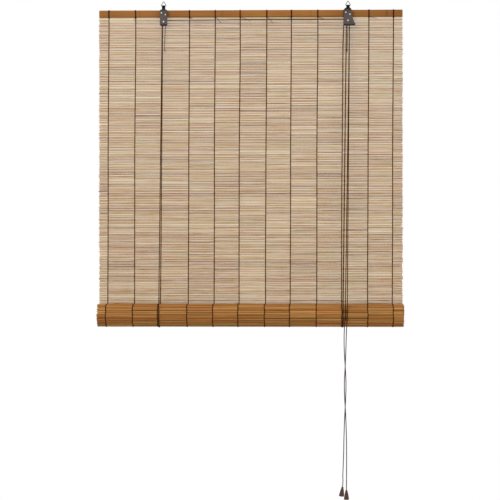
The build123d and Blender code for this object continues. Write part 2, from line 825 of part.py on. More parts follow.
for name, place in tassel_places:
    with BuildPart() as tassel:
        with BuildSketch(Plane.XZ):
            Polygon(*tassel_profile, align=None)
        revolve(axis=Axis.Z)
    save(place * tassel.part, f"tassel_{name}")

    with BuildPart() as tassel_knot:
        with BuildSketch(Plane.XZ):
            Polygon(*tassel_knot_profile, align=None)
        revolve(axis=Axis.Z)
    save(place * tassel_knot.part, f"tassel_knot_{name}")

# Free ends of the pull cords: across from the right hanger's middle, out from the roll's
# front, and below its centre
free_routes = {
    "a": (
        tassel_a,
        left_tassel_tilt,
        [
            (-9.7, -0.15, 9.0),
            (-11.2, -0.1, 26.0),
            (-12.9, -0.3, 50.0),
            (-13.2, -0.9, 84.0),
            (-11.5, -1.6, 124.0),
            (-8.9, -1.9, 160.0),
            (-7.1, -0.6, 200.0),
            (-8.3, 0.9, 243.0),
            (-10.5, 1.3, 280.0),
            (-12.3, 0.8, 322.0),
            (-13.6, 0.1, 362.0),
            (-14.1, -0.3, 402.0),
            (-16.0, -0.5, 446.0),
            (-16.9, -0.5, 472.0),
        ],
    ),
    "b": (
        tassel_b,
        0.0,
        [
            (-4.1, -0.15, 9.0),
            (-4.9, -0.1, 26.0),
            (-6.3, 0.1, 50.0),
            (-7.2, 0.6, 84.0),
            (-8.6, 1.2, 124.0),
            (-10.5, 1.1, 160.0),
            (-12.6, 0.2, 200.0),
            (-11.5, -1.3, 243.0),
            (-8.8, -1.9, 280.0),
            (-7.2, -1.6, 322.0),
            (-6.0, -1.2, 362.0),
            (-5.6, -0.9, 402.0),
            (-5.7, -0.8, 446.0),
            (-6.0, -1.1, 480.0),
        ],
    ),
}
bore_lead = 12.0
for (name, (top, tilt, spots)), front, lead in zip(free_routes.items(), pull_fronts, pull_leads):
    lean = Vector(sin(radians(tilt)), 0, cos(radians(tilt)))
    above = Vector(*top) + lean * bore_lead
    below = Vector(*top) - lean * knot_top
    points = (
        [front]
        + [(right_hanger_x + dx, front_y0 + dy, front_centre[1] - drop) for dx, dy, drop in spots]
        + [tuple(above), tuple(below)]
    )
    radii = route_radii(points)
    with BuildPart() as pull_cord_lower:
        with BuildLine() as free_path:
            FilletPolyline(*points, radius=radii)
        with BuildSketch(facing(points[0], points[1])):
            Circle(cord_radius)
        sweep(path=free_path.line)
    length = free_path.wire().length
    report_route(f"pull_cord_lower_{name}", length, radii, pull_cord_lower.part, cord_radius)
    save(pull_cord_lower.part, f"pull_cord_lower_{name}")
    print("  route in metres:", [tuple(round(v / 1000, 5) for v in p) for p in points])

# Cord tails: spare ends hanging from the hangers, each with a knot
tail_specs = (
    ("left", left_hanger_x + 5.0, left_hanger_x + 2.8, 70.0),
    ("right", right_hanger_x - 0.5, right_hanger_x - 2.3, 70.0),
)
tail_z = strap_end + 1.6
tail_knot_radius = 2.1
tail_knot_height = 5.0
tail_end = 6.0
tail_knot_profile = [
    (0, 0),
    (tail_knot_radius * 0.5, 0),
    (tail_knot_radius, -tail_knot_height * 0.35),
    (tail_knot_radius, -tail_knot_height * 0.65),
    (tail_radius, -tail_knot_height),
    (tail_radius, -tail_knot_height - tail_end),
    (0, -tail_knot_height - tail_end),
]
tail_y = half_cage - leaf - side_gap - tail_radius
for side_name, x, foot_x, drop in tail_specs:
    lean = (foot_x - x) / drop
    points = [
        (x, tail_y, tail_z),
        (x + 0.05, tail_y - 0.05, tail_z - 0.1 * drop),
        (x + 0.35 * (foot_x - x) + 0.3, tail_y - 0.5, tail_z - 0.3 * drop),
        (x + 0.7 * (foot_x - x) - 0.3, tail_y - 0.4, tail_z - 0.62 * drop),
        (foot_x, tail_y - 0.6, tail_z - drop),
    ]
    radii = route_radii(points)
    with BuildPart() as cord_tail:
        with BuildLine() as tail_path:
            FilletPolyline(*points, radius=radii)
        with BuildSketch(facing(points[0], points[1])):
            Circle(tail_radius)
        sweep(path=tail_path.line)
    length = tail_path.wire().length
    report_route(f"cord_tail_{side_name}", length, radii, cord_tail.part, tail_radius)
    save(cord_tail.part, f"cord_tail_{side_name}")

    with BuildPart() as tail_knot:
        with BuildSketch(Plane.XZ):
            Polygon(*tail_knot_profile, align=None)
        revolve(axis=Axis.Z)
    save(Pos(*points[-1]) * tail_knot.part, f"tail_knot_{side_name}")

# Places that the record repeats
print("ring apex z", knuckle_z + ring_rise, "knuckle z", knuckle_z, "rail bottom", rail_bottom)
print("roll centre", roll_centre, "front", front_y0, "roll z", roll_z, "outer radius", outer_radius)
print("roller", roller_x, roller_z, roller_radius, "slide", flare_dir, "travel", roller_travel)
print("axles", axle_spots, "lath half", lath_half, "rows", row_pitch, row_height)
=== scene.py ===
# %% [markdown]
# # A roll-up bamboo blind, piece by piece
#
# The blind hangs from two rings. Under them run a bamboo head rail and a mat of fine split
# sticks, tied by twelve warp threads. Two cords pass under the rolled-up lower mat and lift
# it. This lesson loads the measured solids, keeps the metal ones, and makes every stick,
# thread and cord in mesh code, because that is where a blind of this kind gets its look.

# %% The measured solids
import math

import bpy
import numpy as np
from mathutils import Matrix, Vector


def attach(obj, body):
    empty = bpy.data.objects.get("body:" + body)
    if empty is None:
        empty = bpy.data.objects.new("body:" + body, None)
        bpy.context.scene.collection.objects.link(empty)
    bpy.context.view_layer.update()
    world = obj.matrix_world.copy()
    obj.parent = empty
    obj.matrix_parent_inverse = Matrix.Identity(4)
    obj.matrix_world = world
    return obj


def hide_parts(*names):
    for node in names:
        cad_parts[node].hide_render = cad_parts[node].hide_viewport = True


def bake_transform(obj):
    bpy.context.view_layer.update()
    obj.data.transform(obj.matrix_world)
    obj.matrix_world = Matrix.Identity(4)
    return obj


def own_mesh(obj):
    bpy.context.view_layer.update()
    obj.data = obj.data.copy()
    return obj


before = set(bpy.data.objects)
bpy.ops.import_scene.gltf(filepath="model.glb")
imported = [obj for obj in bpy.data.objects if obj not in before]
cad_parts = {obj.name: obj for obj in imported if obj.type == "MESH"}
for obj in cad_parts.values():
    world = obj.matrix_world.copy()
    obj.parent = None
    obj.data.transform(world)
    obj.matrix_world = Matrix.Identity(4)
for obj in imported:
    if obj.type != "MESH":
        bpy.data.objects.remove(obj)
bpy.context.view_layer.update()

# %% [markdown]
# ## The camera
#
# A product photograph of a blind is taken from far away with a long lens, so that the rail
# and the roll stay level. The roll stands a little in front of the mat, and the threads lie
# slightly further apart on it. That gives the distance, about five and a half metres, and
# shows that the lens stood a little to the right of the blind's middle.

# %% Camera
looked_at = Vector((-0.0018, 0.0102, -0.7378))
eye = Vector((0.144, -5.49, -0.7378))
lens = bpy.data.cameras.new("photo_camera")
lens.angle = math.radians(15.36)
lens.clip_end = 60
camera = bpy.data.objects.new("photo_camera", lens)
camera.location = eye
camera.rotation_euler = (looked_at - eye).to_track_quat("-Z", "Y").to_euler()
bpy.context.scene.collection.objects.link(camera)
bpy.context.scene.camera = camera
print("camera distance", round((looked_at - eye).length, 3), "m")

# %% [markdown]
# ## Numbers that the pieces share
#
# Sticks, threads and cords meet each other, so their heights, depths and spacings are named
# once. All are in metres: front is -Y, up is +Z, and the ring tops lie on the X axis.

# %% Shared sizes
MM = 0.001
HALF_WIDTH = 450 * MM
RAIL_TOP, RAIL_BOTTOM = -26 * MM, -47 * MM
MAT_MIDDLE_Y = 10.2 * MM
MAT_TOP, MAT_FOOT = -47.3 * MM, -928.85 * MM
ROW_PITCH, ROW_HEIGHT = 7.227 * MM, 5.276 * MM
ROWS = 122
THREADS = [x * MM for x in (-425, -345.8, -272, -186, -110, -36, 42, 115.5, 194, 269, 345, 419.5)]
LEAD_RUN, END_GAP = 12 * MM, 0.2 * MM
PATH_SPACING = 4 * MM
chance = np.random.RandomState(20)


widths = [round((b - a) / MM, 1) for a, b in zip(THREADS, THREADS[1:])]
print("panels between threads", widths, "mm")

# %% [markdown]
# ## Gathering mesh data
#
# The mat has hundreds of sticks and the threads thousands of small bends. One object for
# each would be slow, so a gatherer collects points and faces and makes one mesh at the end.
# It also keeps a tone for each point or each face. The bamboo finishes read it as a stick's own
# tone, and the fibre finishes read it as the ply height that their painted shade follows.


# %% A gatherer for many small shapes
class Gatherer:
    """Collects points, faces and tones for one piece."""

    def __init__(self, tone_of="POINT"):
        self.points, self.faces, self.tones, self.tone_of = [], [], [], tone_of

    def rings(self, rings, tone, closed_ends=True):
        """Joins rings of points into a skin."""
        count, sides = len(rings), len(rings[0])
        start = len(self.points)
        self.points.extend(map(tuple, np.asarray(rings).reshape(-1, 3)))
        rows = count if self.tone_of == "POINT" else count - 1
        tone = np.broadcast_to(np.asarray(tone, float).reshape(-1, 1), (rows, sides))
        self.tones.extend(tone.reshape(-1))
        for i in range(count - 1):
            a, b = start + i * sides, start + (i + 1) * sides
            for k in range(sides):
                n = (k + 1) % sides
                self.faces.append((a + k, a + n, b + n, b + k))
        if closed_ends:
            self.faces.append(tuple(range(start + sides - 1, start - 1, -1)))
            last = start + (count - 1) * sides
            self.faces.append(tuple(range(last, last + sides)))
            if self.tone_of == "FACE":
                self.tones.extend([tone[0, 0], tone[-1, 0]])

    def piece(self, name, finish, smooth=True):
        """Makes the object."""
        mesh = bpy.data.meshes.new(name)
        mesh.from_pydata(self.points, [], self.faces)
        mesh.attributes.new("tone", "FLOAT", self.tone_of).data.foreach_set("value", self.tones)
        mesh.polygons.foreach_set("use_smooth", [smooth] * len(mesh.polygons))
        mesh.materials.append(finish)
        mesh.update()
        obj = bpy.data.objects.new(name, mesh)
        bpy.context.scene.collection.objects.link(obj)
        triangles = sum(len(p.vertices) - 2 for p in mesh.polygons)
        print(f"{name}: {triangles} triangles")
        return obj


# %% [markdown]
# ## Fibre finishes
#
# Cord and thread are spun fibre, matt and dark. The tone that each point carries is the height
# of the ply there, and a colour ramp on it paints shade: almost black in the grooves between
# the plies, and a painted highlight, a little lighter, on their crowns. A fine noise roughens it.


# %% A finish for cords and threads
def nodes_of(name):
    """A new material, its node tree and its surface shader."""
    made = bpy.data.materials.new(name)
    made.use_nodes = True
    return made, made.node_tree, made.node_tree.nodes["Principled BSDF"]


def fill(node, inputs):
    """Gives each input its value, or links it if an output is given."""
    for key, value in dict(inputs).items():
        if isinstance(value, bpy.types.NodeSocket):
            node.id_data.links.new(value, node.inputs[key])
        else:
            node.inputs[key].default_value = value


def add_node(tree, kind, inputs=(), **settings):
    """One node, with its settings and its inputs."""
    node = tree.nodes.new(kind)
    for key, value in settings.items():
        setattr(node, key, value)
    fill(node, inputs)
    return node


def ramp(tree, source, stops):
    """The colour of a ramp with the given (place, colour) stops."""
    node = add_node(tree, "ShaderNodeValToRGB", {"Fac": source})
    band = node.color_ramp
    while len(band.elements) < len(stops):
        band.elements.new(0.5)
    for element, (place, colour) in zip(band.elements, stops):
        element.position = place
        element.color = (*colour, 1)
    return node.outputs["Color"]


def noise(tree, stretch=None, **inputs):
    """A noise that is fixed to the piece, and packed closer by stretch along each axis."""
    place = add_node(tree, "ShaderNodeTexCoord").outputs["Object"]
    if stretch:
        packed = add_node(tree, "ShaderNodeMapping", {"Vector": place, "Scale": stretch})
        place = packed.outputs["Vector"]
    return add_node(tree, "ShaderNodeTexNoise", {"Vector": place, **inputs}).outputs["Fac"]


def sum_of(tree, operation, *values):
    """What a Math node makes of the values."""
    return add_node(tree, "ShaderNodeMath", dict(enumerate(values)), operation=operation).outputs[0]


def spread(tree, source, low, high, start=0.0, end=1.0, **settings):
    """The source's range from start to end, spread from low to high."""
    inputs = {"Value": source, "From Min": start, "From Max": end, "To Min": low, "To Max": high}
    return add_node(tree, "ShaderNodeMapRange", inputs, **settings).outputs["Result"]


def mixed(tree, first, second, share, blend="MIX"):
    """Two colours mixed, by a share of the second."""
    inputs = {"Factor": share, "A": first, "B": second}
    node = add_node(tree, "ShaderNodeMix", inputs, data_type="RGBA", blend_type=blend)
    return node.outputs["Result"]


def dress(shader, colour, relief, strength, others, depth=0.0002):
    """Gives the shader its colour, its fine relief and its other inputs."""
    inputs = {"Strength": strength, "Distance": depth, "Height": relief}
    bump = add_node(shader.id_data, "ShaderNodeBump", inputs)
    fill(shader, {"Base Color": colour, "Normal": bump.outputs["Normal"], **others})


def fibre_finish(name, groove_shade, body, crown):
    """Spun fibre: painted shade in its grooves, a painted highlight on its crowns, hardly any
    shine.
    """
    made, tree, shader = nodes_of(name)
    tone = add_node(tree, "ShaderNodeAttribute", attribute_name="tone").outputs["Fac"]
    speck = noise(tree, Scale=900, Detail=3)
    level = sum_of(tree, "MULTIPLY_ADD", speck, 0.35, tone)
    # The ramp paints shade: the first colour darkens the grooves, and the last is a painted
    # highlight on the crowns.
    colour = ramp(tree, level, [(0.15, groove_shade), (0.65, body), (1.0, crown)])
    dress(shader, colour, speck, 0.4, {"Roughness": 0.9, "Specular IOR Level": 0.03})
    return made


# Each fibre finish gets a painted shade colour for the grooves, a body colour, and a painted
# highlight colour for the crowns.
cord_finish = fibre_finish(
    "lift_cord_fibre", (0.008, 0.002, 0.001), (0.030, 0.008, 0.003), (0.066, 0.022, 0.010)
)
tail_finish = fibre_finish(
    "tail_cord_fibre", (0.02, 0.009, 0.005), (0.085, 0.036, 0.02), (0.19, 0.095, 0.058)
)
print("fibre finishes:", cord_finish.name, tail_finish.name)

# %% [markdown]
# ## The cords
#
# A lift cord is three plies twisted together. A plain tube would look like wire, so each
# cord is a tube with three shallow grooves that wind round it. Its middle line comes from
# the route: a smooth spline through the places where the cord bends. A cord under load is
# straight between its pulley and the roll, and those stretches need only their two ends.


# %% Lines and twisted tubes
def spline_line(points, fineness=12):
    """Points along the smooth spline that has the route's points as its control points."""
    curve = bpy.data.curves.new("route", "CURVE")
    curve.dimensions = "3D"
    spline = curve.splines.new("NURBS")
    spline.points.add(len(points) - 1)
    for spot, place in zip(spline.points, points):
        spot.co = (*place, 1)
    spline.order_u = 3
    spline.use_endpoint_u = True
    spline.resolution_u = fineness
    holder = bpy.data.objects.new("route", curve)
    mesh = bpy.data.meshes.new_from_object(holder)
    line = np.array([tuple(v.co) for v in mesh.vertices])
    bpy.data.objects.remove(holder)
    bpy.data.meshes.remove(mesh)
    bpy.data.curves.remove(curve)
    return line


def spaced(line, spacing):
    """The same line with evenly spaced points, and how far along each one is."""
    line = np.asarray(line, float)
    steps = np.linalg.norm(np.diff(line, axis=0), axis=1)
    run = np.concatenate([[0], np.cumsum(steps)])
    along = np.linspace(0, run[-1], max(3, int(round(run[-1] / spacing)) + 1))
    return np.stack([np.interp(along, run, line[:, k]) for k in range(3)], axis=1), along


def cross_directions(line):
    """Two directions across the line at each point, which never twist about it."""
    ahead = np.gradient(line, axis=0)
    ahead /= np.linalg.norm(ahead, axis=1)[:, None]
    side = np.cross(ahead[0], (0.31, 0.92, 0.24))
    sides = []
    for way in ahead:
        side = side - way * np.dot(side, way)
        side = side / np.linalg.norm(side)
        sides.append(side)
    sides = np.array(sides)
    return sides, np.cross(ahead, sides)


def wind(
    gatherer, line, radius, sides=9, plies=3, lay=0.009, depth=0.17, spacing=0.0012, widen=1.0
):
    """A tube along a line, with grooves between its plies, and widened along X."""
    line, along = spaced(line, spacing)
    across, other = cross_directions(line)
    angles = np.arange(sides) * 2 * math.pi / sides
    crown = np.abs(np.cos((angles[None, :] - along[:, None] * 2 * math.pi / lay) * plies / 2))
    reach = radius * (1 - depth * (1 - crown))
    rings = (
        line[:, None, :]
        + across[:, None, :] * (np.cos(angles)[None, :] * reach)[..., None]
        + other[:, None, :] * (np.sin(angles)[None, :] * reach)[..., None]
    )
    rings[..., 0] = line[:, None, 0] + (rings[..., 0] - line[:, None, 0]) * widen
    start = len(gatherer.tones)
    gatherer.rings(rings, 0.5)
    # Each point's tone is its ply height, from which the fibre finishes paint shade and highlight.
    gatherer.tones[start:] = list((0.25 + 0.6 * crown).reshape(-1))


def cord_piece(name, line, radius, body, finish, slot, replaced, **look):
    """A twisted cord that rides on a body and stands for the plain solid of that cord."""
    gatherer = Gatherer()
    wind(gatherer, line, radius, **look)
    obj = gatherer.piece(name, finish)
    if body:
        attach(obj, body)
    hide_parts(replaced)
    return obj


def lift_cord(name, line, body, replaced):
    """One stretch of a lift cord."""
    return cord_piece(name, line, CORD_RADIUS, body, cord_finish, "lift_cord", replaced)


CORD_RADIUS, TAIL_RADIUS = 1.4 * MM, 0.95 * MM
print("cord", 2000 * CORD_RADIUS, "mm, tail", 2000 * TAIL_RADIUS, "mm across")

# %% [markdown]
# ## Lift cords and the sling under the roll
#
# Each lift cord is knotted to a nail in the rail's back, runs down behind the mat, turns
# under the roll and comes up in front. When the roll rises, the straight runs get shorter
# and the turn under the roll moves with it. So the turn is a piece of its own that rides on
# the roll, and the runs are pieces that shorten towards the rail.

# %% Lift cords
LEFT_TOP, RIGHT_TOP = -262.2 * MM, 284.1 * MM
LEFT_LEAD = np.array([LEFT_TOP, 0.0, -63 * MM])
LOCK_LEAD = np.array([RIGHT_TOP, 1.9 * MM, -61 * MM])
PULL_LEADS = [np.array([292.9 * MM, y * MM, -61 * MM]) for y in (-1.9, 1.9)]
ROLL_FRONT = (-59.28 * MM, -927.8 * MM)
FRONTS = {"left": (-268.0 * MM, *ROLL_FRONT), "right": (272.6 * MM, *ROLL_FRONT)}
PULL_FRONTS = [(279.2 * MM, -59.28 * MM, -927.92 * MM), (284.8 * MM, -59.27 * MM, -927.77 * MM)]


def toward(a, b, run):
    """The point that lies a run away from a, in b's direction."""
    a, b = np.asarray(a, float), np.asarray(b, float)
    return a + (b - a) * run / np.linalg.norm(b - a)


def running_cord(name, head, foot):
    """A straight loaded run, which shortens as the roll rises."""
    obj = lift_cord(f"{name}_run", [head, foot], "root", name)
    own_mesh(obj)


def front_run(name, lead, front):
    """A run from just under a pulley down to the roll's front."""
    running_cord(name, toward(lead, front, LEAD_RUN), toward(front, lead, END_GAP))


for side, lead in (("left", LEFT_LEAD), ("right", LOCK_LEAD)):
    front = FRONTS[side]
    back_top, back_foot = (lead[0], 16.8 * MM, -43.2 * MM), (front[0], 12.4 * MM, -928.8 * MM)
    running_cord(f"back_cord_{side}", back_top, back_foot)
    front_run(f"front_cord_{side}", lead, front)
for letter, lead, front in zip("ab", PULL_LEADS, PULL_FRONTS):
    front_run(f"pull_cord_upper_{letter}", lead, front)

# %% [markdown]
# The turn under the roll touches the roll all the way, so its route has a point outside each
# eighth of the turn. A spline of this kind then runs close to the true arc.

# %% The turn under the roll
ROLL_STEP = 1.175 * MM
ROLL_OUTER = 35.2625 * MM
FIRST_CENTRE = (-24.0625 * MM, -929.0 * MM)
CORNERS = [(0, 0), (0, -1), (-1, -1), (-1, 0)]


def roll_spot(quarter, share, lift):
    """(y, z) at a share of a quarter turn, lifted off the roll's outer face."""
    dy, dz = CORNERS[quarter % 4]
    cy, cz = FIRST_CENTRE[0] + dy * ROLL_STEP, FIRST_CENTRE[1] + dz * ROLL_STEP
    angle = (quarter + share) * math.pi / 2
    reach = ROLL_OUTER - quarter * ROLL_STEP + lift
    return cy + reach * math.cos(angle), cz - reach * math.sin(angle)


def sling_route(front):
    """The route of a cord round the roll's underside, from behind the mat to its front."""
    x, lift = front[0], 1.2 * MM
    spots = [roll_spot(0, 0, lift)]
    for quarter in (0, 1):
        reach = ROLL_OUTER - quarter * ROLL_STEP + lift
        outside = reach / math.cos(math.pi / 8) - reach
        spots += [roll_spot(quarter, share, lift + outside) for share in (0.25, 0.75)]
    return [(x, y, z) for y, z in spots] + [(x, front[1], -929.6 * MM), front]


for side, front in FRONTS.items():
    lift_cord(f"sling_{side}_turn", spline_line(sling_route(front)), "roll", f"sling_{side}")

# %% [markdown]
# ## The cords over the pulleys
#
# The left cord turns over its pulley, crosses in front of the mat's top edge to the cord
# lock, and comes down there as one of the two pull cords. The right lift cord turns over the
# lock's second groove. Their routes have a point at each corner of the turn, and one more a
# few diameters out along the long crossing, which keeps the bend as tight as the pulley.

# %% Cross cord and lock cord
cross_route = [
    toward(LEFT_LEAD, FRONTS["left"], LEAD_RUN),
    LEFT_LEAD,
    (LEFT_TOP, 0, -56.6 * MM),
    (-248 * MM, -0.05 * MM, -56.55 * MM),
    (278 * MM, -1.85 * MM, -54.65 * MM),
    (292.9 * MM, -1.9 * MM, -54.6 * MM),
    PULL_LEADS[0],
    toward(PULL_LEADS[0], PULL_FRONTS[0], LEAD_RUN),
]
lock_route = [
    toward(LOCK_LEAD, FRONTS["right"], LEAD_RUN),
    LOCK_LEAD,
    (RIGHT_TOP, 1.9 * MM, -54.6 * MM),
    (292.9 * MM, 1.9 * MM, -54.6 * MM),
    PULL_LEADS[1],
    toward(PULL_LEADS[1], PULL_FRONTS[1], LEAD_RUN),
]
lift_cord("cross_cord_run", spline_line(cross_route), "root", "cross_cord")
lift_cord("lock_cord_run", spline_line(lock_route), "root", "lock_cord")

# %% [markdown]
# ## The pull cords' free ends
#
# Below the roll the two pull cords hang free, cross each other twice and end in the tassels.
# Their small sideways wander is what cord keeps from having lain in a coil. Each route lists
# the places where the cord bends, from the roll's front down to the knot in its tassel.

# %% Free pull cords
free_routes = {
    "a": [
        (0.2792, -0.05928, -0.92792), (0.2788, -0.0595, -0.93917), (0.2773, -0.05945, -0.95617),
        (0.2756, -0.05965, -0.98017), (0.2753, -0.06025, -1.01418), (0.277, -0.06095, -1.05417),
        (0.2796, -0.06125, -1.09017), (0.2814, -0.05995, -1.13017), (0.2802, -0.05845, -1.17317),
        (0.278, -0.05805, -1.21018), (0.2762, -0.05855, -1.25218), (0.2749, -0.05925, -1.29217),
        (0.2744, -0.05965, -1.33217), (0.2725, -0.05985, -1.37617), (0.2716, -0.05985, -1.40217),
        (0.27246, -0.05975, -1.41949), (0.26945, -0.05975, -1.44401),
    ],
    "b": [
        (0.2848, -0.05927, -0.92777), (0.2844, -0.0595, -0.93917), (0.2836, -0.05945, -0.95617),
        (0.2822, -0.05925, -0.98017), (0.2813, -0.05875, -1.01418), (0.2799, -0.05815, -1.05417),
        (0.278, -0.05825, -1.09017), (0.2759, -0.05915, -1.13017), (0.277, -0.06065, -1.17317),
        (0.2797, -0.06125, -1.21018), (0.2813, -0.06095, -1.25218), (0.2825, -0.06055, -1.29217),
        (0.2829, -0.06025, -1.33217), (0.2828, -0.06015, -1.37617), (0.2825, -0.06045, -1.41017),
        (0.2824, -0.06055, -1.4288), (0.2824, -0.06055, -1.4535),
    ],
}
for letter, route in free_routes.items():
    line = spline_line(route)
    obj = lift_cord(f"pull_cord_lower_{letter}_run", line, None, f"pull_cord_lower_{letter}")
    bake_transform(obj)
    path, along = spaced(line, PATH_SPACING)
    print("free run", letter, round(float(along[-1]), 4), "m")

# %% [markdown]
# ## Knots and cord tails
#
# A spare end hangs from each hanger and ends in an overhand knot. The knot is a tube along
# a trefoil curve, which is the curve an overhand knot makes when it is pulled tight, and
# below it the plies open into a few loose fibres.


# %% Knots and loose fibres
def knot_line(centre, width, height):
    """The middle line of a tight overhand knot."""
    t = np.linspace(0, 2 * math.pi, 60)
    reach = 1 + 0.45 * np.cos(3 * t)
    shape = np.stack([reach * np.cos(2 * t), reach * np.sin(2 * t), np.sin(3 * t)], axis=1)
    return np.asarray(centre) + shape * np.array([width / 2.9, width / 2.9, height / 2])


def loose_fibres(gatherer, top, length, count, fan):
    """Single fibres that fan out below a knot."""
    t = np.linspace(0, 1, 5)
    for _ in range(count):
        tilt = chance.normal(0, fan, 2)
        reach = length * chance.uniform(0.6, 1.0)
        bend = chance.normal(0, fan * 0.4, 2)
        xs, ys = [
            top[k] + 0.25 * MM * tilt[k] / fan + reach * (tilt[k] * t**1.5 + bend[k] * t**3)
            for k in (0, 1)
        ]
        line = np.stack([xs, ys, top[2] - reach * t], axis=1)
        wind(gatherer, line, 0.13 * MM, sides=4, plies=1, depth=0, spacing=reach / 4)


tail_routes = {
    "left": [
        (-0.2528, 0.0034, -0.0709), (-0.25275, 0.00335, -0.0779), (-0.25327, 0.0029, -0.0919),
        (-0.25464, 0.003, -0.1143), (-0.255, 0.0028, -0.1409),
    ],
    "right": [
        (0.288, 0.0034, -0.0709), (0.28805, 0.00335, -0.0779), (0.28767, 0.0029, -0.0919),
        (0.28644, 0.003, -0.1143), (0.2862, 0.0028, -0.1409),
    ],
}
for side, route in tail_routes.items():
    line = spline_line(route)
    tail = cord_piece(
        f"cord_tail_{side}_run", line, TAIL_RADIUS, "root", tail_finish, "tail_cord",
        f"cord_tail_{side}", lay=0.006,
    )
    foot = np.array(route[-1])
    gatherer = Gatherer()
    knotted = knot_line(foot - (0, 0, 2.4 * MM), 2.9 * MM, 3.0 * MM)
    wind(gatherer, knotted, 0.72 * MM, sides=8, plies=2, lay=0.004)
    wind(gatherer, [foot - (0, 0, 4 * MM), foot - (0, 0, 7 * MM)], TAIL_RADIUS, lay=0.006)
    loose_fibres(gatherer, foot - (0, 0, 6.4 * MM), 4.2 * MM, 22, 0.28)
    knot = gatherer.piece(f"tail_knot_{side}_tied", tail_finish)
    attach(knot, "root")
    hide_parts(f"tail_knot_{side}")

# %% [markdown]
# Behind the rail the lift cords end on two nails. Each end goes twice round its nail, with
# a hitch over the top.

# %% Knots on the cord nails
gatherer = Gatherer()
for top_x in (LEFT_TOP, RIGHT_TOP):
    t = np.linspace(0, 1, 60)
    turn = t * 4.4 * math.pi - math.pi / 2
    reach = (2.05 + 0.1 * np.sin(3 * turn)) * MM
    loop = [top_x + reach * np.cos(turn), (15.95 + 1.5 * t) * MM, -40 * MM + reach * np.sin(turn)]
    lead_out = [(top_x, 16.8 * MM, -43.0 * MM), (top_x + 0.5 * MM, 16.6 * MM, -42.3 * MM)]
    wind(gatherer, np.vstack([lead_out, np.stack(loop, axis=1)]), 0.95 * MM, lay=0.008)
    loose_fibres(gatherer, (top_x + 2.2 * MM, 17.4 * MM, -40.6 * MM), 3 * MM, 12, 0.3)
nail_knot = gatherer.piece("nail_knots_tied", cord_finish)
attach(nail_knot, "root")
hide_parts("nail_knots")

# %% [markdown]
# ## Bamboo finishes
#
# Split bamboo has straight fibres along the stick, a waxy skin, and a tone that differs from
# stick to stick. The finish takes each stick's tone from the mesh, adds streaks from a noise
# that is stretched along the blind, and a few darker joints where the plant's rings were.
# Long patches are a little redder or greener, as sticks from different canes are.


# %% A finish for split bamboo
def bamboo_finish(name, stops, streak=0.5, stretch=4.0, fineness=260, tints=0.8):
    """Bamboo with streaks along X, darker joints, and redder and greener patches."""
    made, tree, shader = nodes_of(name)
    tone = add_node(tree, "ShaderNodeAttribute", attribute_name="tone").outputs["Fac"]
    streaks = noise(tree, (stretch, fineness, fineness), Scale=1.6, Detail=5, Roughness=0.62)
    streaked = sum_of(tree, "MULTIPLY_ADD", streaks, streak, tone)
    level = sum_of(tree, "SUBTRACT", streaked, streak / 2)
    joints = noise(tree, (9, 210, 210), Scale=2.0, Detail=0)
    at_joints = ramp(tree, joints, [(0.66, (0, 0, 0)), (0.74, (0.25, 0.25, 0.25))])
    jointed = mixed(tree, ramp(tree, level, stops), (*stops[0][1], 1), at_joints)
    patches = noise(tree, (7, 150, 150), Scale=1.0, Detail=2)
    redder, plain, greener = (1.0, 0.89, 0.86), (1.0, 1.0, 1.0), (0.88, 1.0, 1.0)
    hue = ramp(tree, patches, [(0.36, redder), (0.5, plain), (0.64, greener)])
    colour = mixed(tree, jointed, hue, tints, "MULTIPLY")
    rough = spread(tree, streaks, 0.42, 0.67)
    dress(shader, colour, streaks, 0.5, {"Roughness": rough, "Specular IOR Level": 0.25})
    return made


# The mat's sticks are lighter and yellower than the roll's. This is painted light, for the light
# that shines through the thin sticks from behind.
lit_through_mat_finish = bamboo_finish(
    "mat_sticks",
    [
        (0.08, (0.27, 0.118, 0.020)), (0.34, (0.425, 0.207, 0.042)),
        (0.54, (0.485, 0.284, 0.076)), (0.74, (0.59, 0.39, 0.158)), (0.95, (0.72, 0.545, 0.31)),
    ],
    streak=0.4,
    tints=0.7,
)
roll_finish = bamboo_finish(
    "roll_sticks",
    [
        (0.10, (0.15, 0.05, 0.008)), (0.32, (0.30, 0.11, 0.018)), (0.50, (0.40, 0.165, 0.034)),
        (0.66, (0.46, 0.21, 0.055)), (0.92, (0.60, 0.33, 0.10)),
    ],
)
rail_finish = bamboo_finish(
    "rail_lath",
    [(0.10, (0.15, 0.05, 0.007)), (0.50, (0.315, 0.118, 0.018)), (0.90, (0.44, 0.20, 0.04))],
    streak=0.95,
    stretch=2.2,
    fineness=520,
)
print("bamboo finishes:", lit_through_mat_finish.name, roll_finish.name, rail_finish.name)

# %% [markdown]
# ## The mat of sticks
#
# The mat is tied in groups of three fine sticks. The threads hold the sticks tight where
# they cross, and between the threads each stick wanders a little, so light shows through in
# lines that change from panel to panel. A striped texture on a board can't do that. Every
# stick is therefore a bar of its own, with a station at each thread and two in between.
#
# In the photograph the threads lean: the higher they are, the further right they stand, up to
# five millimetres. One rule for this lean moves the threads and the panels between them.


# %% Laying sticks
LEAN_HEIGHTS = (-0.818, -0.575, -0.456, -0.337, -0.219, -0.119)
LEANS = (0.0015, 0.0023, 0.0023, 0.0032, 0.0043, 0.0050)
THREAD_SHIFTS = [x * MM for x in (-1.1, -0.8, 0, -0.3, 0.1, 0.1, 1.0, 0.6, 0.4, 0, 0.5, -1.2)]


def lean(zs):
    """How far all threads stand to the right of their places on the roll, at these heights."""
    return np.interp(zs, LEAN_HEIGHTS, LEANS)


def thread_places(i, zs):
    """Where thread i runs, at these heights. Two of them pass under a hanger and lean more."""
    if i == 2:
        return np.interp(zs, (-0.925, -0.85, -0.70, -0.05), (-0.2700, -0.2672, -0.2658, -0.2620))
    if i == 9:
        return np.interp(zs, (-0.925, -0.60, -0.13, -0.05), (0.2695, 0.2705, 0.2735, 0.277))
    return THREADS[i] + THREAD_SHIFTS[i] + lean(zs)


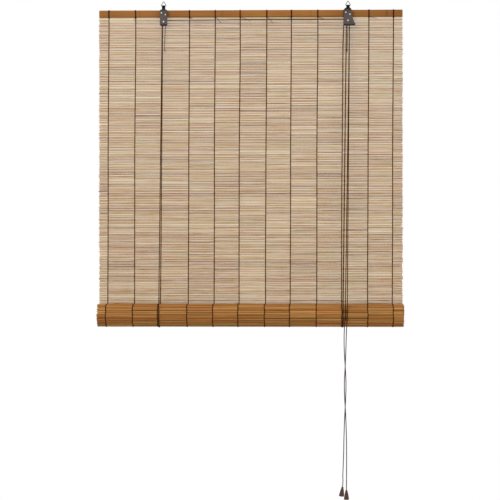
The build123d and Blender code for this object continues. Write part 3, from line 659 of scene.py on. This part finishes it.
starts = [a + (b - a) * share for a, b in zip(THREADS, THREADS[1:]) for share in (0, 0.3, 0.7)]
ends = [THREADS[-1], HALF_WIDTH - 15 * MM, HALF_WIDTH]
STATIONS = np.array([-HALF_WIDTH, -HALF_WIDTH + 12 * MM, *starts, *ends])
HELD = np.array([min(abs(x - t) for t in THREADS) < 1 * MM for x in STATIONS])
BAR_SECTION = [(1.0, -0.6), (1.0, 0.6), (0.25, 1.0), (-1.0, 0.7), (-1.0, -0.7), (0.25, -1.0)]
DRAWS = len(THREADS) + 2  # one random number for each panel, and one to spare


def lay_stick(
    gatherer, out, along, spot, half_out, half_along, tone, ragged, loose, stations=None, moved=0.0
):
    """One split stick. out and along are (y, z) directions, spot its middle."""
    xs = (STATIONS if stations is None else stations).copy()
    panel = np.searchsorted(THREADS, (xs[:-1] + xs[1:]) / 2)  # the panel of each step
    xs[1:-1] += moved
    xs[0] += chance.normal(0, ragged)
    xs[-1] += chance.normal(0, ragged)
    bow = 0 * xs
    if stations is None:
        bow = chance.normal(0, loose, DRAWS)[np.append(panel, panel[-1])] * ~HELD
    bow = bow * chance.uniform(0.8, 1.2, len(xs))
    lift = bow * chance.choice([-0.5, 0.5])
    swell = 1 + chance.normal(0, 0.05, len(xs))
    mid_y = spot[0] + along[0] * bow + out[0] * lift
    mid_z = spot[1] + along[1] * bow + out[1] * lift
    mid = np.stack([xs, mid_y, mid_z], axis=1)
    rings = []
    for section_out, section_along in BAR_SECTION:
        o = section_out * half_out
        a = section_along * half_along * swell
        off = [0 * xs, out[0] * o + along[0] * a, out[1] * o + along[1] * a]
        rings.append(mid + np.stack(off, axis=1))
    shades = chance.normal(0, 0.15, DRAWS)
    odd_ones = chance.uniform(0, 1, DRAWS) < 0.03
    shades = shades + odd_ones * chance.choice([-0.45, 0.4])
    gatherer.rings(np.stack(rings, axis=1), (tone + shades)[panel])


def bend_field(x, z):
    """How far a row sags or rises at a place, the same for neighbouring rows."""
    waves = np.sin(9 * x + 5 * z + 1) + 0.6 * np.sin(17 * x - 11 * z)
    waves = waves + 0.4 * np.sin(31 * x + 8 * z + 2)
    return 0.16 * MM * waves


gatherer = Gatherer("FACE")
for row in range(ROWS):
    stick_gap = ROW_PITCH * (0.056 - 0.016 * row / ROWS)
    group_gap = ROW_PITCH * (0.134 - 0.036 * row / ROWS)
    if row % 9 == 0:
        panel_drift = chance.normal(0, 0.06, DRAWS)
    middle = MAT_TOP - ROW_HEIGHT / 2 - row * ROW_PITCH
    row_tone = 0.9 if row == 0 else chance.normal(0.535, 0.05)
    shares = chance.uniform(0.8, 1.2, 3)
    shares /= shares.sum()
    top = (ROW_PITCH - group_gap) / 2
    for share in shares:
        height = share * (ROW_PITCH - group_gap - 2 * stick_gap)
        centre = middle + top - height / 2
        top -= height + stick_gap
        tone = row_tone + chance.normal(0, 0.10)
        lay_stick(
            gatherer, out=(-1, 0), along=(0, 1),
            spot=(MAT_MIDDLE_Y + chance.normal(0, 0.1 * MM), centre),
            half_out=0.9 * MM, half_along=height / 2, tone=tone + panel_drift,
            ragged=1.0 * MM, loose=0.09 * MM, moved=lean(centre),
        )
points = np.array(gatherer.points)
below_top = np.clip((MAT_TOP - points[:, 2]) / 0.05, 0, 1)
above_foot = np.clip((points[:, 2] - MAT_FOOT) / 0.05, 0, 1)
points[:, 2] += bend_field(points[:, 0], points[:, 2]) * (below_top * above_foot)
gatherer.points = list(map(tuple, points))
mat_sticks = gatherer.piece("mat_sticks", lit_through_mat_finish, smooth=False)
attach(mat_sticks, "root")
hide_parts("mat")
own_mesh(mat_sticks)
print("sticks in the mat:", ROWS * 3)

# %% [markdown]
# ## The rolled-up mat
#
# The same sticks run on round the roll, wound four and a half times about the bottom lath.
# From the front only the outer lap shows, but the roll's two ends show every lap, so all the
# laps are laid. The inner sticks are straight bars, because only their ends are ever seen.

# %% Sticks of the roll
gatherer = Gatherer("FACE")
ROLL_QUARTERS, OUTER_QUARTERS = 18, 5
stick_count = 0
for quarter in range(ROLL_QUARTERS):
    reach = ROLL_OUTER - quarter * ROLL_STEP
    groups = max(2, round(reach * math.pi / 2 / ROW_PITCH))
    slip = chance.normal(0, 0.8 * MM)
    straight = np.array([slip - HALF_WIDTH, 0, slip + HALF_WIDTH])
    for group in range(groups):
        tone_here = chance.normal(0.54, 0.09)
        for k in range(3):
            share = (group + 0.5 + (k - 1) * 0.31) / groups
            y, z = roll_spot(quarter, share, -1.0 * MM + chance.normal(0, 0.08 * MM))
            angle = (quarter + share) * math.pi / 2
            out = (math.cos(angle), -math.sin(angle))
            along = (-math.sin(angle), -math.cos(angle))
            half = reach * math.pi / 2 / groups * 0.30 / 2 * chance.uniform(0.9, 1.12)
            lay_stick(
                gatherer, out, along, spot=(y, z), half_out=0.92 * MM, half_along=half,
                tone=tone_here + chance.normal(0, 0.12), ragged=1.1 * MM, loose=0.16 * MM,
                stations=straight if quarter >= OUTER_QUARTERS else None,
            )
            stick_count += 1
roll_sticks = gatherer.piece("roll_sticks", roll_finish, smooth=False)
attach(roll_sticks, "roll")
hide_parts("rolled_mat")
print("sticks in the roll:", stick_count)

# %% [markdown]
# ## Warp threads
#
# A warp thread is two strands that are twined: one passes in front of a group of sticks and
# behind the next, the other does the opposite, and they cross in each gap. From the front
# this gives a short stitch over every group. Both strands are followed point by point, and
# they lean as the panels do. The yarn is soft and lies flat, so it is wider than it is thick.


# %% Twined strands
# Each thread finish gets a painted shade colour for the grooves, a body colour, and a painted
# highlight colour for the crowns.
thread_finishes = [
    fibre_finish(f"warp_thread_{name}", *tones)
    for name, tones in {
        "dark": ((0.008, 0.002, 0.001), (0.032, 0.007, 0.002), (0.074, 0.018, 0.006)),
        "brown": ((0.010, 0.002, 0.001), (0.040, 0.009, 0.002), (0.088, 0.022, 0.008)),
    }.items()
]
STRAND, YARN_WIDTH = 0.58 * MM, 2.15
TWO_PLY = {"plies": 2, "depth": 0.2}
YARN = {**TWO_PLY, "sides": 6, "lay": 0.005, "spacing": 1.15 * MM}


def twined(x, spots, outs, phases):
    """Two strands that swap sides at each gap. spots are (y, z) in the mat's middle."""
    swap = np.clip(1.5 * np.cos(phases), -1, 1)
    cross = np.sin(phases) * STRAND * 1.1
    for way in (1, -1):
        reach = way * swap * (0.95 * MM + STRAND)
        ys, zs = spots[:, 0] + outs[:, 0] * reach, spots[:, 1] + outs[:, 1] * reach
        yield np.stack([x + way * cross, ys, zs], axis=1)


STITCH = 8
mat_phase = np.arange(0, ROWS * STITCH - 3) * math.pi / STITCH
mat_z = MAT_TOP - ROW_HEIGHT / 2 - mat_phase / math.pi * ROW_PITCH
spots = np.stack([0 * mat_z + MAT_MIDDLE_Y, mat_z], axis=1)
outs = np.stack([0 * mat_z - 1, 0 * mat_z], axis=1)
below_top = np.clip((MAT_TOP - mat_z) / 0.1, 0, 1)
for i in range(len(THREADS)):
    gatherer = Gatherer()
    sway = thread_places(i, mat_z) + 0.3 * MM * np.sin(mat_z * 7 + i * 1.7) * below_top
    for strand in twined(sway, spots, outs, mat_phase + math.pi * (i % 2)):
        wind(gatherer, strand, STRAND, widen=YARN_WIDTH, **YARN)
    obj = gatherer.piece(f"warp_thread_{i + 1:02d}_twined", thread_finishes[i % 2])
    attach(obj, "root")
    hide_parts(f"warp_thread_{i + 1:02d}")
    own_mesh(obj)

# %% [markdown]
# The same stitch runs on round the roll's outer lap. Here the direction away from the mat
# turns with the roll, so each point is lifted along the roll's own radius.

# %% Threads round the roll
phases, spots, outs = [], [], []
for quarter in range(4):
    groups = max(2, round((ROLL_OUTER - quarter * ROLL_STEP) * math.pi / 2 / ROW_PITCH))
    for k in range(groups * STITCH):
        share = (k + 0.5) / (groups * STITCH)
        angle = (quarter + share) * math.pi / 2
        if quarter == 3 and share > 0.84:
            break
        phases.append((len(phases) + 0.5) * math.pi / STITCH - math.pi / 2)
        spots.append(roll_spot(quarter, share, -1.0 * MM))
        outs.append((math.cos(angle), -math.sin(angle)))
phases, spots, outs = np.array(phases), np.array(spots), np.array(outs)
gatherer = Gatherer()
for i, x in enumerate(THREADS):
    sway = x + 0.5 * MM * np.sin(phases * 0.4 + i * 2.1)
    for strand in twined(sway, spots, outs, phases + math.pi * (i % 2)):
        wind(gatherer, strand, STRAND, widen=1.25 * YARN_WIDTH, **YARN)
roll_threads = gatherer.piece("roll_threads_twined", thread_finishes[0])
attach(roll_threads, "roll")
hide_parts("roll_threads")

# %% [markdown]
# ## The head rail
#
# The rail is one bamboo lath with rounded edges. It is skinned from a rounded section that
# is repeated along the blind, with the faint swellings that bamboo has at its joints. Its
# grain finish reads a tone that drifts slowly along the lath.


# %% Rail
def rounded_section(depth, height, radius, per_corner=4):
    """(y, z) round a rounded oblong, about its middle."""
    section = []
    for corner, (sy, sz) in enumerate(((1, 1), (-1, 1), (-1, -1), (1, -1))):
        for k in range(per_corner + 1):
            angle = math.pi / 2 * (corner + k / per_corner)
            y = sy * (depth / 2 - radius) + radius * math.cos(angle)
            z = sz * (height / 2 - radius) + radius * math.sin(angle)
            section.append((y, z))
    return np.array(section)


rail_section = rounded_section(10 * MM, 21 * MM, 3 * MM)
near_end = HALF_WIDTH - 0.5 * MM
rail_xs = [-HALF_WIDTH, -near_end, *np.linspace(-0.448, 0.448, 180), near_end, HALF_WIDTH]
rail_middle_z = (RAIL_TOP + RAIL_BOTTOM) / 2
joint_xs = [-0.33, -0.085, 0.176, 0.404]
rings, tones = [], []
for x in rail_xs:
    swelling = sum(math.exp(-(((x - j) / 0.0022) ** 2)) for j in joint_xs)
    pinch = 0.94 if abs(abs(x) - HALF_WIDTH) < 0.1 * MM else 1.0
    scale = pinch * (1 + 0.012 * swelling)
    ring = rail_section * scale
    drift = 0.12 * MM * math.sin(14 * x + 0.6)
    ys, zs = MAT_MIDDLE_Y + ring[:, 0], rail_middle_z + ring[:, 1] + drift
    rings.append(np.stack([np.full(len(ring), x), ys, zs], axis=1))
    hump = 0.1 * math.exp(-((x / 0.2) ** 2))
    tone = 0.46 + hump + 0.06 * math.sin(11 * x) + 0.05 * math.sin(37 * x + 1)
    tones.append(tone - 0.25 * swelling)
gatherer = Gatherer()
gatherer.rings(rings, tones)
rail = gatherer.piece("head_rail_lath", rail_finish)
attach(rail, "root")
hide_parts("head_rail")

# %% [markdown]
# Each warp thread starts as a doubled loop over the rail. Its two strands lie side by side,
# go round the rail's front, top and back, and are tied off under the rail in a small knot.
# A few knots keep a loose end.

# %% Thread loops over the rail
gatherer = Gatherer()
loop_side = [
    (y * MM + STRAND, edge + z * MM)
    for edge, corners in (
        (RAIL_TOP, [(4.8, -0.6), (5.0, -3)]),
        (RAIL_BOTTOM, [(5.0, 3), (4.4, 0.4), (2.4, -0.6), (1.3, -1.4), (1.0, -3.4)]),
    )
    for y, z in corners
]
loop_top = [(1.8 * MM, RAIL_TOP + STRAND), (4.2 * MM, RAIL_TOP + STRAND)]
half_loop = loop_top + loop_side
outline = [(-y, z) for y, z in reversed(half_loop)] + half_loop
loose_ends = {
    1: (-5, -7), 3: (9, -3), 4: (17, -16), 5: (31, -11),
    6: (18, -16), 7: (-8, -6), 8: (16, -3), 10: (25, -2),
}
for i in range(len(THREADS)):
    x = thread_places(i, np.array([RAIL_BOTTOM]))[0]
    for way in (-1, 1):
        shift = way * 0.95 * MM
        cant = chance.normal(0, 0.3 * MM)
        line = [
            (x + shift + cant * (z - RAIL_BOTTOM) / (RAIL_TOP - RAIL_BOTTOM), MAT_MIDDLE_Y + y, z)
            for y, z in outline
        ]
        loop = {**YARN, "sides": 7, "spacing": 1.0 * MM}
        wind(gatherer, spline_line(line, 6), STRAND, widen=1.6, **loop)
    knot_at = (x, MAT_MIDDLE_Y - 4.3 * MM, RAIL_BOTTOM + 0.3 * MM)
    tie = {"sides": 6, "plies": 1, "depth": 0.1, "lay": 0.004, "spacing": 0.8 * MM}
    wind(gatherer, knot_line(knot_at, 2.9 * MM, 2.2 * MM), 0.62 * MM, **tie)
    if i in loose_ends:
        dx, dz = (v * MM for v in loose_ends[i])
        line = [
            knot_at,
            (x + 0.3 * dx, MAT_MIDDLE_Y - 4.6 * MM, RAIL_BOTTOM - 1.5 * MM + 0.1 * dz),
            (x + 0.7 * dx, MAT_MIDDLE_Y - 3.8 * MM, RAIL_BOTTOM - 2.5 * MM + 0.4 * dz),
            (x + dx, MAT_MIDDLE_Y - 2.9 * MM, RAIL_BOTTOM - 2.5 * MM + dz),
        ]
        end = {**TWO_PLY, "sides": 6, "lay": 0.003, "spacing": 0.8 * MM}
        wind(gatherer, spline_line(line, 6), 0.55 * MM, **end)
loops = gatherer.piece("thread_loops", thread_finishes[0])
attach(loops, "root")

# %% [markdown]
# ## Metal finishes
#
# The hangers are thin steel strap with a dark grey-brown coat, which wears on the edges. A
# noise blotches the coat, and the Bevel node shows where an edge is near, so that the bare
# metal can come through there. Bands by height paint shade on the strap: dark under its bottom
# lip, darker and greener above the bend where the front leaf steps forward, and near black at
# the pinched neck. Nails and axles are bright, and the pulleys are brass.


# %% A finish for metal
# Heights, in metres, over which the strap's bands of painted shade are spread.
SHADE_BAND_HEIGHTS = (-0.075, -0.010)


def metal_finish(name, tones, grip, wear=None, shade_bands=None):
    """Metal with cloudy tones and, if asked, worn edges and bands of painted shade by height."""
    made, tree, shader = nodes_of(name)
    cloud = noise(tree, Scale=90, Detail=5, Roughness=0.65)
    colour = ramp(tree, cloud, list(zip(np.linspace(0.3, 0.7, len(tones)), tones)))
    # The bands paint shade over the colour, by height.
    if shade_bands:
        place = add_node(tree, "ShaderNodeTexCoord").outputs["Object"]
        height = add_node(tree, "ShaderNodeSeparateXYZ", {"Vector": place}).outputs["Z"]
        shade = ramp(tree, spread(tree, height, 0.0, 1.0, *SHADE_BAND_HEIGHTS), shade_bands)
        colour = mixed(tree, colour, shade, 1.0, "MULTIPLY")
    if wear:
        soft = add_node(tree, "ShaderNodeBevel", {"Radius": 0.0005}, samples=6).outputs["Normal"]
        flat = add_node(tree, "ShaderNodeNewGeometry").outputs["Normal"]
        turn = add_node(tree, "ShaderNodeVectorMath", {0: soft, 1: flat}, operation="DOT_PRODUCT")
        edge = spread(tree, turn.outputs["Value"], 0.0, 0.8, 0.995, 0.85)
        colour = mixed(tree, colour, (*wear, 1), edge)
    rough = spread(tree, cloud, grip, grip + 0.22)
    dress(shader, colour, cloud, 0.25, {"Metallic": 1.0, "Roughness": rough}, 0.0001)
    return made


# Painted shade on the hanger strap, from its foot up: dark under the bottom lip, full colour with a
# faint purple cast below the bend, darker and greener above it, and near black at the pinched neck.
strap_shade_bands = [
    (0.065, (0.33, 0.26, 0.22)), (0.10, (1.0, 0.92, 0.90)), (0.45, (1.0, 0.96, 0.97)),
    (0.68, (0.82, 0.82, 0.72)), (0.80, (0.30, 0.28, 0.26)), (0.86, (0.10, 0.09, 0.09)),
]
coat_tones = [
    (0.055, 0.040, 0.036), (0.098, 0.074, 0.078), (0.082, 0.082, 0.070), (0.135, 0.098, 0.080),
]
bare_steel = (0.17, 0.13, 0.11)
strap_finish = metal_finish("hanger_strap", coat_tones, 0.45, wear=bare_steel, shade_bands=strap_shade_bands)
wire_finish = metal_finish("ring_wire", [(0.035, 0.035, 0.034), (0.095, 0.092, 0.088)], 0.3)
bright_finish = metal_finish("nail_and_axle", [(0.66, 0.63, 0.60), (0.90, 0.88, 0.85)], 0.2)
brass_finish = metal_finish("pulley_brass", [(0.42, 0.26, 0.07), (0.62, 0.42, 0.14)], 0.28)
roller_finish = metal_finish("roller_steel", [(0.22, 0.21, 0.20), (0.38, 0.37, 0.36)], 0.32)
bright_nodes = "left_hanger_nails cord_lock_nails left_axle lock_axle cord_nails".split()
metal = [
    (strap_finish, "hanger_steel", ["left_hanger", "cord_lock"]),
    (wire_finish, "ring_wire", ["left_ring", "right_ring"]),
    (bright_finish, "rivet_nickel", bright_nodes),
    (brass_finish, "pulley_brass", ["left_pulley", "lock_pulley"]),
    (roller_finish, "roller_steel", ["lock_roller"]),
]
metal = [(node, finish, slot) for finish, slot, nodes in metal for node in nodes]
for node, finish, slot in metal:
    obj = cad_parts[node]
    obj.data.materials.clear()
    obj.data.materials.append(finish)
    soften = obj.modifiers.new("soft_edges", "BEVEL")
    soften.width = 0.15 * MM
    soften.segments = 2
    soften.limit_method = "ANGLE"
    soften.angle_limit = math.radians(35)
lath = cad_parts["bottom_lath"]
lath.data.materials.clear()
lath.data.materials.append(rail_finish)
tone = lath.data.attributes.new("tone", "FLOAT", "POINT")
tone.data.foreach_set("value", [0.45] * len(lath.data.vertices))
print("metal pieces:", len(metal))

# %% [markdown]
# ## Tassels
#
# The tassels are turned wood, stained dark and waxed. A lathe cuts them from a profile, so
# the mesh is made in the same way: a profile with its fine grooves is swung round the axis.
# The grain runs along the axis and shows as thin streaks under the stain.


# %% Turned tassels
def wood_finish(name, dark, body, light):
    """Stained wood with its grain along Z."""
    made, tree, shader = nodes_of(name)
    grain = noise(tree, (520, 520, 45), Scale=1.0, Detail=6, Roughness=0.6, Distortion=0.4)
    colour = ramp(tree, grain, [(0.3, dark), (0.52, body), (0.75, light)])
    wax = {"Specular IOR Level": 0.3, "Coat Weight": 0.08, "Coat Roughness": 0.25}
    dress(shader, colour, grain, 0.3, {"Roughness": spread(tree, grain, 0.4, 0.6), **wax})
    return made


tassel_finish = wood_finish(
    "tassel_wood", (0.020, 0.007, 0.003), (0.060, 0.023, 0.010), (0.17, 0.065, 0.034)
)
turned_profile = [
    (1.3, 0), (2, 0), (2.6, -0.15), (3.1, -0.6), (3.3, -1.2), (3.35, -2.4), (3.25, -3.1),
    (3.1, -3.5), (3.15, -3.9), (3.5, -4.3), (3.9, -5.4), (4.35, -7), (4.8, -9), (5.2, -11),
    (5.6, -13), (5.95, -15), (6.3, -17), (6.6, -18.7), (6.5, -18.9), (6.5, -19.2), (6.75, -19.4),
    (7, -21), (7.3, -23), (7.45, -24.6), (7.5, -25.8), (7.35, -26.7), (6.9, -27.3), (6.3, -27.5),
    (5.6, -27.3), (5.4, -26.6), (5, -23.5), (4.5, -18.5), (3.9, -14), (3.3, -12.8), (1.3, -12.5),
]
reach, height = (np.array(turned_profile) * MM).T
LATHE_STEPS = 48
tassel_places = {
    "a": Matrix.Translation((0.2710, -0.05975, -1.4314)) @ Matrix.Rotation(math.radians(7), 4, "Y"),
    "b": Matrix.Translation((0.2824, -0.06055, -1.4408)),
}
for letter, place in tassel_places.items():
    rings = []
    for k in range(LATHE_STEPS):
        angle = 2 * math.pi * k / LATHE_STEPS
        ring = [reach * math.cos(angle), reach * math.sin(angle), height]
        rings.append(np.stack(ring, axis=1))
    rings.append(rings[0])
    gatherer = Gatherer()
    gatherer.rings(rings, 0.5, closed_ends=False)
    obj = gatherer.piece(f"tassel_{letter}_turned", tassel_finish)
    weld = obj.modifiers.new("closed_seam", "WELD")
    weld.merge_threshold = 0.00001
    obj.matrix_world = place
    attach(obj, "tassels")
    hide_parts(f"tassel_{letter}")

    gatherer = Gatherer()
    knotted = knot_line((0, 0, -15.2 * MM), 4.0 * MM, 3.4 * MM)
    wind(gatherer, knotted, 0.85 * MM, sides=8, plies=2, lay=0.005)
    loose_fibres(gatherer, (0, 0, -16.5 * MM), 4 * MM, 18, 0.25)
    knot = gatherer.piece(f"tassel_knot_{letter}_tied", cord_finish)
    knot.matrix_world = place
    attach(knot, "tassels")
    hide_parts(f"tassel_knot_{letter}")

# %% [markdown]
# ## Light, background and floor
#
# The photograph has an even white background and very soft light from the front and above.
# The world gives most of the light. To the lens, and in reflections, it is plain white. Four
# large soft lamps shape the roll: one high on the left in front, a weak one on the right, one
# above, and one behind, which shines through the gaps of the mat.


# %% Light
def seen_directly(tree):
    """1 for rays from the lens, a mirror or a glass, else 0."""
    ray = add_node(tree, "ShaderNodeLightPath").outputs
    either = sum_of(tree, "MAXIMUM", ray["Is Camera Ray"], ray["Is Glossy Ray"])
    return sum_of(tree, "MAXIMUM", either, ray["Is Transmission Ray"])


world = bpy.data.worlds.new("studio")
bpy.context.scene.world = world
world.use_nodes = True
tree = world.node_tree
tree.nodes.clear()
lighting, backdrop = [
    add_node(tree, "ShaderNodeBackground", {"Color": colour, "Strength": strength}).outputs[0]
    for colour, strength in (((1, 0.995, 0.985, 1), 0.63), ((1, 1, 1, 1), 1.0))
]
shaders = {1: lighting, 2: backdrop}
choice = add_node(tree, "ShaderNodeMixShader", {"Fac": seen_directly(tree), **shaders})
add_node(tree, "ShaderNodeOutputWorld", {"Surface": choice.outputs[0]})


def lamp(name, place, size, share):
    """A square soft lamp that adds this share of full light at the blind's middle."""
    middle = Vector((0, 0, -0.5))
    data = bpy.data.lights.new(name, "AREA")
    data.size = size
    data.energy = share * math.pi**2 * (Vector(place) - middle).length_squared
    obj = bpy.data.objects.new(name, data)
    obj.location = place
    obj.rotation_euler = (middle - Vector(place)).to_track_quat("-Z", "Y").to_euler()
    bpy.context.scene.collection.objects.link(obj)
    print(name, round(data.energy, 1), "W")


lamp("key_lamp", (-2.2, -2.9, 1.8), 2.2, 0.42)
lamp("fill_lamp", (2.4, -3.0, -0.6), 2.4, 0.16)
lamp("top_lamp", (0.3, 0.6, 2.6), 2.0, 0.12)
lamp("back_lamp", (1.2, 3.6, 0.9), 2.2, 0.16)

# %% [markdown]
# ## The floor
#
# The floor lies below the lowest place that the tassels can reach, so it is far under the
# camera's view. Its finish fades to nothing from a metre and a half outwards, as a
# photographer's paper sweep fades into light, and no rim is seen. It looks pale but gives
# little light back, because the undersides in the photograph are shaded.

# %% Floor
FLOOR_RADIUS, FLOOR_Z = 5, -3.76
FADE_START, FADE_END = 1.5, 4.9
floor_finish, tree, shader = nodes_of("pale_floor")
pale = mixed(tree, (0.3, 0.3, 0.29, 1), (0.88, 0.88, 0.87, 1), seen_directly(tree))
fill(shader, {"Base Color": pale, "Roughness": 0.9, "Specular IOR Level": 0.1})
place = add_node(tree, "ShaderNodeTexCoord").outputs["Object"]
level = add_node(tree, "ShaderNodeVectorMath", {0: place, 1: (1, 1, 0)}, operation="MULTIPLY")
away = add_node(tree, "ShaderNodeVectorMath", {0: level.outputs["Vector"]}, operation="LENGTH")
fading = spread(
    tree, away.outputs["Value"], 0.0, 1.0, FADE_START, FADE_END, interpolation_type="SMOOTHSTEP"
)
nothing = add_node(tree, "ShaderNodeBsdfTransparent")
shaders = {1: shader.outputs["BSDF"], 2: nothing.outputs["BSDF"]}
faded = add_node(tree, "ShaderNodeMixShader", {"Fac": fading, **shaders})
fill(tree.nodes["Material Output"], {"Surface": faded.outputs["Shader"]})
gatherer = Gatherer()
angles = np.linspace(0, 2 * math.pi, 97)[:-1]
rim = [FLOOR_RADIUS * np.cos(angles), FLOOR_RADIUS * np.sin(angles), 0 * angles + FLOOR_Z]
rim = np.stack(rim, axis=1)
gatherer.rings([rim - (0, 0, 0.02), rim], 0.5)
floor = gatherer.piece("floor", floor_finish, smooth=False)

# %% [markdown]
# ## Colour
#
# The Standard view keeps each colour as it was chosen.

# %% Finish
bpy.context.scene.view_settings.view_transform = "Standard"
